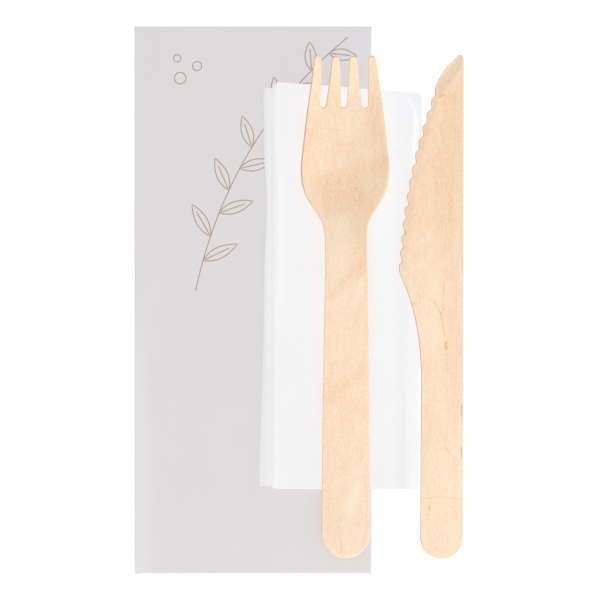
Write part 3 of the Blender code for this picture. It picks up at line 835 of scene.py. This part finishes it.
    flat = VENEER / 2.0
    points, faces = pressed_plate(spots, quads, lambda x, y: flat, VENEER, KNIFE_ROUND, thinned)
    turn = math.radians(KNIFE_TURN)
    turned = []
    for x, y, z in points:
        across = x * math.cos(roll) + z * math.sin(roll)
        before_tip = y - KNIFE_LENGTH
        place = (across * math.cos(turn) + before_tip * math.sin(turn), y - across * math.sin(turn))
        turned.append((*place, z * math.cos(roll) - x * math.sin(roll)))
    lift = -min(p[2] for p in turned)
    shift = KNIFE_BACK - max(p[0] for p in turned)
    placed = [(shift + x, KNIFE_FOOT + y, z + lift) for x, y, z in turned]
    knife = add_piece("knife_body", placed, faces, material)
    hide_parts("wooden_knife")


def thin_sheet(name, middle, thickness, material):
    """A closed thin sheet from a grid of points on its middle surface, where None leaves a place empty."""
    rows = len(middle)
    columns = len(middle[0])
    points = []
    index = {}

    def beside(r, c, r_step, c_step):
        """The next point over, or the point itself at the sheet's edge."""
        r_near = min(max(r + r_step, 0), rows - 1)
        c_near = min(max(c + c_step, 0), columns - 1)
        return middle[r_near][c_near] or middle[r][c]

    for r in range(rows):
        for c in range(columns):
            if middle[r][c] is None:
                continue
            across = beside(r, c, 0, 1) - beside(r, c, 0, -1)
            along = beside(r, c, 1, 0) - beside(r, c, -1, 0)
            normal = across.cross(along).normalized()
            index[(r, c)] = len(points)
            points.append(middle[r][c] + normal * thickness / 2.0)
            points.append(middle[r][c] - normal * thickness / 2.0)
    faces = []
    uses = set()
    for r in range(rows - 1):
        for c in range(columns - 1):
            quad = square(r, c)
            if all(key in index for key in quad):
                faces.append([index[key] for key in quad])
                faces.append([index[key] + 1 for key in reversed(quad)])
                uses.update(zip(quad, quad[1:] + quad[:1]))
    for a, b in sorted(uses):
        if (b, a) not in uses:
            faces.append([index[b], index[a], index[a] + 1, index[b] + 1])
    return add_piece(name, points, faces, material)


def front_sag(x, y):
    """Small rises and dips of the pouch's front."""
    inside = ease((x - POUCH_LEFT) / (9.0 * MM)) * ease((POUCH_RIGHT - x) / (9.0 * MM))
    inside *= ease((y - FOOT) / (6.0 * MM))
    cloud = noise.noise(Vector((x / (34.0 * MM), y / (60.0 * MM), 1.7)))
    return inside * FRONT_SAG * cloud


def build_pouch(material, printed):
    """One sheet folded round into a flat tube, lapped along its back, its front's end folded under."""
    front = POUCH_TOP - PAPER / 2.0
    turn_radius = (front - BACK_LEVEL) / 2.0
    turn_level = (front + BACK_LEVEL) / 2.0
    centre = (POUCH_LEFT + POUCH_RIGHT) / 2.0
    left = POUCH_LEFT + PAPER / 2.0 + turn_radius
    right = POUCH_RIGHT - PAPER / 2.0 - turn_radius
    lap_in = centre + SEAM_WIDTH / 2.0
    lap_out = centre - SEAM_WIDTH / 2.0
    step = lap_in + SEAM_STEP
    turns = [math.pi * i / 6.0 for i in range(7)]
    # Across the tube, from the lap's inner layer round to its outer one
    section = []
    for i in range(12):
        section.append((blend(lap_in, left, i / 12), BACK_LEVEL, "inner" if i < 4 else "back"))
    for turn in turns:
        x = left - turn_radius * math.sin(turn)
        section.append((x, turn_level - turn_radius * math.cos(turn), "turn"))
    for share in [0.004] + [i / 40.0 for i in range(1, 40)] + [0.996]:
        section.append((blend(left, right, share), front, "front"))
    for turn in turns:
        x = right + turn_radius * math.sin(turn)
        section.append((x, turn_level + turn_radius * math.cos(turn), "turn"))
    for i in range(1, 10):
        section.append((blend(right, step, i / 9), BACK_LEVEL, "back"))
    for i in range(1, 8):
        section.append((blend(step, lap_out, i / 7), TABLE_LEVEL, "outer"))

    fold = (front - TABLE_LEVEL) / 2.0
    fold_line = FOOT + PAPER / 2.0 + fold
    flap_end = FOOT + FLAP_LENGTH
    middle = []

    def add_flap_row(y, level, narrower):
        """One row of the flap or its fold, which only the front runs on into."""
        row = []
        for x, _, part in section:
            spot = Vector((centre + (x - centre) * narrower, y, level))
            row.append(spot if part == "front" else None)
        middle.append(row)

    flap_rows = 8
    for i in range(flap_rows):
        share = 1.0 - i / flap_rows
        add_flap_row(blend(fold_line, flap_end, share), TABLE_LEVEL, 1.0 - FLAP_TAPER * share)
    for turn in turns[:-1]:
        add_flap_row(fold_line - fold * math.sin(turn), TABLE_LEVEL + fold - fold * math.cos(turn), 1.0)
    rows = 90
    for r in range(rows + 1):
        y = blend(fold_line, MOUTH, r / rows)
        under = ease((flap_end + 4.0 * MM - y) / (3.0 * MM))
        row = []
        for x, z, part in section:
            beyond = fold_line - FOOT if r == 0 and part == "turn" else 0.0
            if part == "front":
                z += front_sag(x, y)
            if part == "inner":
                z += under * INNER_LIFT
            if part == "outer":
                z += under * OUTER_LIFT
            row.append(Vector((x, y - beyond, z)))
        middle.append(row)
    pouch = thin_sheet("pouch_tube", middle, PAPER, material)
    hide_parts("paper_pouch")


def napkin_under(x):
    """The level under the napkin: the pouch's front, then down to the table past its edge."""
    start = POUCH_RIGHT + REST_GAP
    return NAPKIN_REST * (1.0 - ease((x - start) / DROP_RUN))


def napkin_lift(x, y):
    """Soft swellings of the packet: a ridge at its left and a slanting crease at its upper right."""
    low = ease((NAPKIN_TOP - 25.0 * MM - y) / (60.0 * MM))
    ridge = hump(x, NAPKIN_LEFT + 0.9 * MM + 0.5 * MM * low, 1.2 * MM + 0.6 * MM * low)
    ridge *= ease((NAPKIN_TOP - 22.0 * MM - y) / (14.0 * MM)) * (1.0 - low)
    crease = hump((x - NAPKIN_RIGHT + 3.0 * MM) + 0.28 * (y - NAPKIN_TOP + 17.0 * MM), 0.0, 1.2 * MM)
    crease *= ease((y - NAPKIN_TOP + 32.0 * MM) / (8.0 * MM))
    cloud = noise.noise(Vector((x / (21.0 * MM), y / (35.0 * MM), 4.2)))
    edge = ease((x - NAPKIN_LEFT) / (3.0 * MM))
    return RIDGE_RISE * ridge + CREASE_RISE * crease + SWELL_RISE * cloud * edge


def build_napkin(material):
    """One sheet folded in half and then to and fro into five panels."""
    radius = NAPKIN_PITCH / 2.0
    second = NAPKIN_LEFT - SECOND_LEAF
    # Each panel's left and right ends, how far down its top left corner lies, and how far its foot rises
    panels = (
        (second - LOWER_LEAF, INNER_RIGHT, LOWEST_LEAF_SHORTER, 1.4, 0.2),
        (second, INNER_RIGHT, SECOND_LEAF_SHORTER, 0.75, 0.2),
        (second, MIDDLE_RIGHT, SECOND_LEAF_SHORTER, 0.75, 0.1),
        (NAPKIN_LEFT, MIDDLE_RIGHT, 0.0, 0.5, 0.1),
        (NAPKIN_LEFT, NAPKIN_RIGHT, 0.0, 0.5, 0.0),
    )
    shares = [0.0, 0.012, 0.03, 0.055]
    shares += [blend(0.09, 0.91, i / 18) for i in range(19)]
    shares += [0.945, 0.97, 0.988, 1.0]
    path = []
    for k, (left, right, left_top, left_foot, right_foot) in enumerate(panels):
        forward = k % 2 == 0
        side = 1.0 if forward else -1.0
        level = (k + 0.5) * NAPKIN_PITCH
        inner_left = left if k == 0 else left + radius
        inner_right = right if k == NAPKIN_PANELS - 1 else right - radius
        for t in shares if forward else reversed(shares):
            short = blend(left_top, NAPKIN_SLANT, t)
            foot = blend(left_foot, right_foot, t) * MM
            path.append((blend(inner_left, inner_right, t), level, side, 0.0, short, foot, k, t))
        if k == NAPKIN_PANELS - 1:
            continue
        fold = inner_right if forward else inner_left
        for i in range(1, 6):
            turn = math.pi * i / 6.0
            x = fold + side * radius * math.sin(turn)
            z = level + radius - radius * math.cos(turn)
            path.append((x, z, side * math.cos(turn), math.sin(turn), short, foot, k, t))
    ply = NAPKIN_PITCH / 4.0
    # Down one ply, round the fold at the foot and up the other ply
    steps = 46
    fold_steps = 6
    sweep = [(1.0 - i / steps, 90.0) for i in range(steps + 1)]
    sweep += [(0.0, 90.0 - 180.0 * i / fold_steps) for i in range(1, fold_steps)]
    sweep += [(i / steps, -90.0) for i in range(steps + 1)]
    lowest_edge = smooth_curve(
        [(0.0, 0.0), (0.18, 0.3), (0.285, 1.15), (0.46, 0.33), (0.65, 0.0), (0.8, -0.69), (1.0, -1.5)]
    )

    def wander(y, k, t):
        """How far a leaf's edge strays from straight."""
        down = (NAPKIN_TOP - y) / (NAPKIN_TOP - NAPKIN_FOOT)
        stray = (1.0 - t) ** 3 * lowest_edge(down) * MM if k == 0 else 0.0
        return stray - t**3 * RIGHT_TAPER * ease(down * 1.15)

    def corner(x, k):
        """How far a panel's rounded right corner lies inside its top."""
        edge = panels[k][1] - NAPKIN_CORNER
        over = min(1.0, max(0.0, (x - edge) / NAPKIN_CORNER))
        return NAPKIN_CORNER * (1.0 - math.sqrt(1.0 - over * over))

    middle = []
    for share, degrees in sweep:
        turn = math.radians(degrees)
        row = []
        for x, z, dir_x, dir_z, short, foot, k, t in path:
            cut = corner(x, k)
            top = NAPKIN_TOP - short - cut
            bottom = NAPKIN_FOOT + foot + 0.3 * cut + ply
            y = blend(bottom, top, share) - ply * math.cos(turn)
            offset = ply * math.sin(turn)
            px = x - dir_z * offset + wander(y, k, t)
            pz = z + dir_x * offset
            rise = pz + napkin_lift(px, y) * pz / NAPKIN_THICKNESS
            row.append(Vector((px, y, napkin_under(px) + rise)))
        middle.append(row)
    napkin = thin_sheet("napkin_folded", middle, TISSUE, material)
    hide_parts("paper_napkin")


def ink_line(points, faces, line, closed=False):
    """Adds one thin raised line along flat points, following the pouch's front."""
    count = len(line)
    first = len(points)
    for i, (x, y) in enumerate(line):
        ahead = line[(i + 1) % count] if closed or i < count - 1 else line[i]
        behind = line[i - 1] if closed or i > 0 else line[i]
        run_x = ahead[0] - behind[0]
        run_y = ahead[1] - behind[1]
        size = math.hypot(run_x, run_y)
        for side in (-1.0, 1.0):
            px = x - run_y / size * side * INK_WIDTH / 2.0
            py = y + run_x / size * side * INK_WIDTH / 2.0
            level = POUCH_TOP + front_sag(px, py)
            points.append((px, py, level - INK_SINK))
            points.append((px, py, level + INK_RISE))
    for i in range(count if closed else count - 1):
        a = first + i * 4
        b = first + ((i + 1) % count) * 4
        faces.append([a + 1, a + 3, b + 3, b + 1])
        faces.append([a, b, b + 2, a + 2])
        faces.append([a, a + 1, b + 1, b])
        faces.append([a + 2, b + 2, b + 3, a + 3])
    if not closed:
        last = first + (count - 1) * 4
        faces.append([first, first + 2, first + 3, first + 1])
        faces.append([last, last + 1, last + 3, last + 2])


def leaf(points, faces, base, heading, length, width):
    """A simple almond leaf outline with its middle vein."""
    steps = 22

    def rim(t, side):
        return length * t, side * width * math.sin(math.pi * t) ** 0.85 * (1.0 - 0.25 * t)

    outline = [rim(i / steps, 1.0) for i in range(steps)]
    outline += [rim(1.0 - i / steps, -1.0) for i in range(steps)]
    vein = [(length * (0.06 + 0.7 * i / 8), 0.0) for i in range(9)]
    cos = math.cos(heading)
    sin = math.sin(heading)
    for line, closed in ((outline, True), (vein, False)):
        placed = [(base[0] + cos * x - sin * y, base[1] + sin * x + cos * y) for x, y in line]
        ink_line(points, faces, placed, closed)


def build_print(material):
    """A leafy sprig that climbs across the pouch, with three small rings."""
    points = []
    faces = []
    start = (POUCH_LEFT + 20.0 * MM, 3.0 * MM)
    bend = (POUCH_LEFT + 31.0 * MM, 54.0 * MM)
    end = (POUCH_LEFT + 70.0 * MM, MOUTH - 3.5 * MM)

    def stem(t):
        a = (1.0 - t) ** 2
        b = 2.0 * t * (1.0 - t)
        c = t * t
        return a * start[0] + b * bend[0] + c * end[0], a * start[1] + b * bend[1] + c * end[1]

    ink_line(points, faces, [stem(i / 80) for i in range(81)])
    leaves = 11
    for i in range(leaves):
        t = 0.1 + 0.82 * i / (leaves - 1)
        x, y = stem(t)
        ahead = stem(t + 0.01)
        heading = math.atan2(ahead[1] - y, ahead[0] - x)
        side = 1.0 if i % 2 else -1.0
        leaf(points, faces, (x, y), heading + side * 0.85, (12.5 - 0.35 * i) * MM, 2.1 * MM)
    rings = ((15.0, -17.0, 1.9), (20.5, -13.0, 1.5), (14.0, -10.5, 1.2))
    ring_steps = 28
    for across, down, radius in rings:
        ring = []
        for i in range(ring_steps):
            turn = 2.0 * math.pi * i / ring_steps
            x = POUCH_LEFT + (across + radius * math.cos(turn)) * MM
            ring.append((x, MOUTH + (down + radius * math.sin(turn)) * MM))
        ink_line(points, faces, ring, True)
    sprig = add_piece("pouch_print", points, faces, material, smooth=False)
    return sprig


def build_stage():
    """A plain white floor, soft light from the right and the front, and a camera straight above."""
    half = 6.0
    floor_mesh = bpy.data.meshes.new("floor")
    corners = [(-half, -half, 0.0), (half, -half, 0.0), (half, half, 0.0), (-half, half, 0.0)]
    floor_mesh.from_pydata(corners, [], [[0, 1, 2, 3]])
    floor_look = Shader("floor_look", 0.9, 0.0)
    floor_look.surface.inputs["Base Color"].default_value = (0.95, 0.95, 0.95, 1.0)
    floor_mesh.materials.append(floor_look.material)
    floor = new_object("floor", floor_mesh)
    floor.location.z = -0.02 * MM

    world = bpy.data.worlds.new("studio")
    world.use_nodes = True
    background = world.node_tree.nodes["Background"]
    background.inputs["Color"].default_value = (1.0, 1.0, 1.0, 1.0)
    background.inputs["Strength"].default_value = 0.57
    bpy.context.scene.world = world

    lamp = bpy.data.lights.new("key", "AREA")
    lamp.shape = "DISK"
    lamp.size = 2.4
    lamp.energy = 138.0
    lamp.use_shadow = False
    key = new_object("key", lamp)
    key.location = KEY_PLACE
    key.rotation_mode = "QUATERNION"
    key.rotation_quaternion = (-Vector(KEY_PLACE)).to_track_quat("-Z", "Y")

    camera = bpy.data.cameras.new("camera")
    camera.sensor_width = SENSOR
    camera.lens = SENSOR * VIEW_DISTANCE / VIEW_WIDTH
    camera.clip_start = 0.1
    camera.clip_end = 20.0
    eye = new_object("camera", camera)
    eye.location = (*VIEW_CENTRE, VIEW_DISTANCE)
    scene = bpy.context.scene
    scene.camera = eye
    scene.view_settings.view_transform = "Standard"
    scene.view_settings.look = "None"


def strokes(origin, side, foot, marks):
    """Marks in millimetres to one side of a line and up from a foot, as strokes in the set."""
    placed = []
    for x1, y1, x2, y2, width, amount in marks:
        start = (origin + side * x1 * MM, foot + y1 * MM)
        end = (origin + side * x2 * MM, foot + y2 * MM)
        placed.append((start, end, width * MM, amount))
    return placed


# Right of the fork's middle and up from its foot
fork_marks = (
    # Figure that rises to the right across the bowl
    (-7.0, 123.0, 13.5, 129.5, 5.5, 0.4),
    (-3.0, 135.5, 2.5, 136.2, 1.2, 0.2),
    (-4.8, 145.2, -3.6, 145.3, 0.6, 0.3),
    # Painted shade on the bowl's right side and last tine, where the dish turns away from the light
    (9.0, 138.0, 9.5, 160.0, 5.0, 0.25),
    # Darker middle of the bowl
    (1.5, 123.0, 1.5, 136.0, 5.0, 0.16),
    # Painted light on the bowl's paler left side and first tine, where the dish faces the light
    (-10.5, 149.0, -9.8, 160.0, 5.0, -0.2),
    # Small dark pores
    (3.0, 121.2, 3.2, 121.0, 0.4, 0.8),
    (0.2, 127.6, 0.3, 127.3, 0.35, 0.7),
    # Handle
    (-5.0, 86.0, 4.5, 96.0, 3.0, 0.3),
    # Painted shade at the neck, where it slopes away from the light
    (-4.0, 117.0, 4.0, 118.0, 8.0, 0.5),
    # Lighter and darker bands in the handle
    (3.0, 84.0, 5.0, 90.0, 3.0, -0.35),
    (-6.0, 52.0, 6.0, 62.0, 3.5, 0.25),
    # Paler lower handle
    (0.0, -2.0, 0.0, 36.0, 12.0, -0.22),
    (1.0, 16.0, 4.0, 24.0, 3.0, -0.4),
    # Fine splits at the end
    (-1.5, 1.8, -1.5, 6.0, 0.3, 0.8),
    (-3.2, 2.6, -3.1, 4.6, 0.25, 0.5),
    (0.5, 1.0, 0.5, 4.4, 0.5, -0.5),
)
# Left of the knife's back and up from its foot
knife_marks = (
    # Knot with the fibres that flow round it
    (5.9, 70.9, 5.7, 68.8, 0.85, 1.0),
    (6.6, 90.0, 6.9, 81.0, 0.45, 0.6),
    (11.9, 85.8, 9.6, 84.0, 0.6, 0.4),
    (9.6, 84.0, 7.6, 80.6, 0.6, 0.5),
    (7.6, 80.6, 6.3, 73.5, 0.6, 0.5),
    (16.2, 83.6, 16.6, 84.0, 1.2, 0.5),
    (5.5, 67.0, 5.3, 61.0, 0.8, 0.3),
    # Lower handle
    (6.6, 37.4, 4.8, 34.9, 0.5, 0.45),
    (4.8, 34.9, 3.1, 33.5, 0.5, 0.45),
    (13.6, 20.0, 6.6, 20.3, 0.7, 0.35),
    (6.6, 20.3, 0.4, 19.4, 0.7, 0.35),
    (11.3, 17.3, 11.3, 16.1, 0.35, 1.2),
    (4.8, 17.5, 4.0, 17.0, 0.35, 0.8),
    # Painted light along the handle's left edge, lifting the shade of its rounded rim
    (14.2, 8.0, 14.1, 62.0, 0.45, -1.2),
    # Dark streaks at the back
    (0.75, 50.2, 0.75, 46.8, 0.32, 1.5),
    (0.75, 51.5, 0.75, 44.0, 0.3, 0.3),
    (0.8, 36.4, 0.8, 33.4, 0.3, 1.6),
    # Nick in a notch and a split at the facet's lower end
    (19.3, 107.4, 19.3, 106.4, 0.35, 1.8),
    (8.0, 151.4, 7.1, 152.1, 0.3, 1.4),
    (7.1, 152.1, 6.3, 152.3, 0.25, 1.2),
    # Darker upper blade, with painted shade on the nose's facet where it slopes away from the light
    (0.0, 158.0, 4.0, 152.0, 6.0, 0.45),
    (4.0, 145.0, 7.0, 112.0, 11.0, 0.38),
    (9.0, 102.0, 10.0, 94.0, 9.0, 0.12),
)

fork_strokes = strokes(FORK_MIDDLE, 1.0, FORK_FOOT, fork_marks)
knife_strokes = strokes(KNIFE_BACK, -1.0, KNIFE_FOOT, knife_marks)
fork_wood = birch("fork_birch_look", FORK_LIGHT, FORK_DARK, (0.0, 0.0, 0.0), fork_strokes)
knife_wood = birch("knife_birch_look", KNIFE_LIGHT, KNIFE_DARK, (11.0, 4.0, 0.0), knife_strokes)
build_pouch(pouch_paper(), build_print(ink()))
build_napkin(tissue())
build_fork(fork_wood)
build_knife(knife_wood)
build_stage()
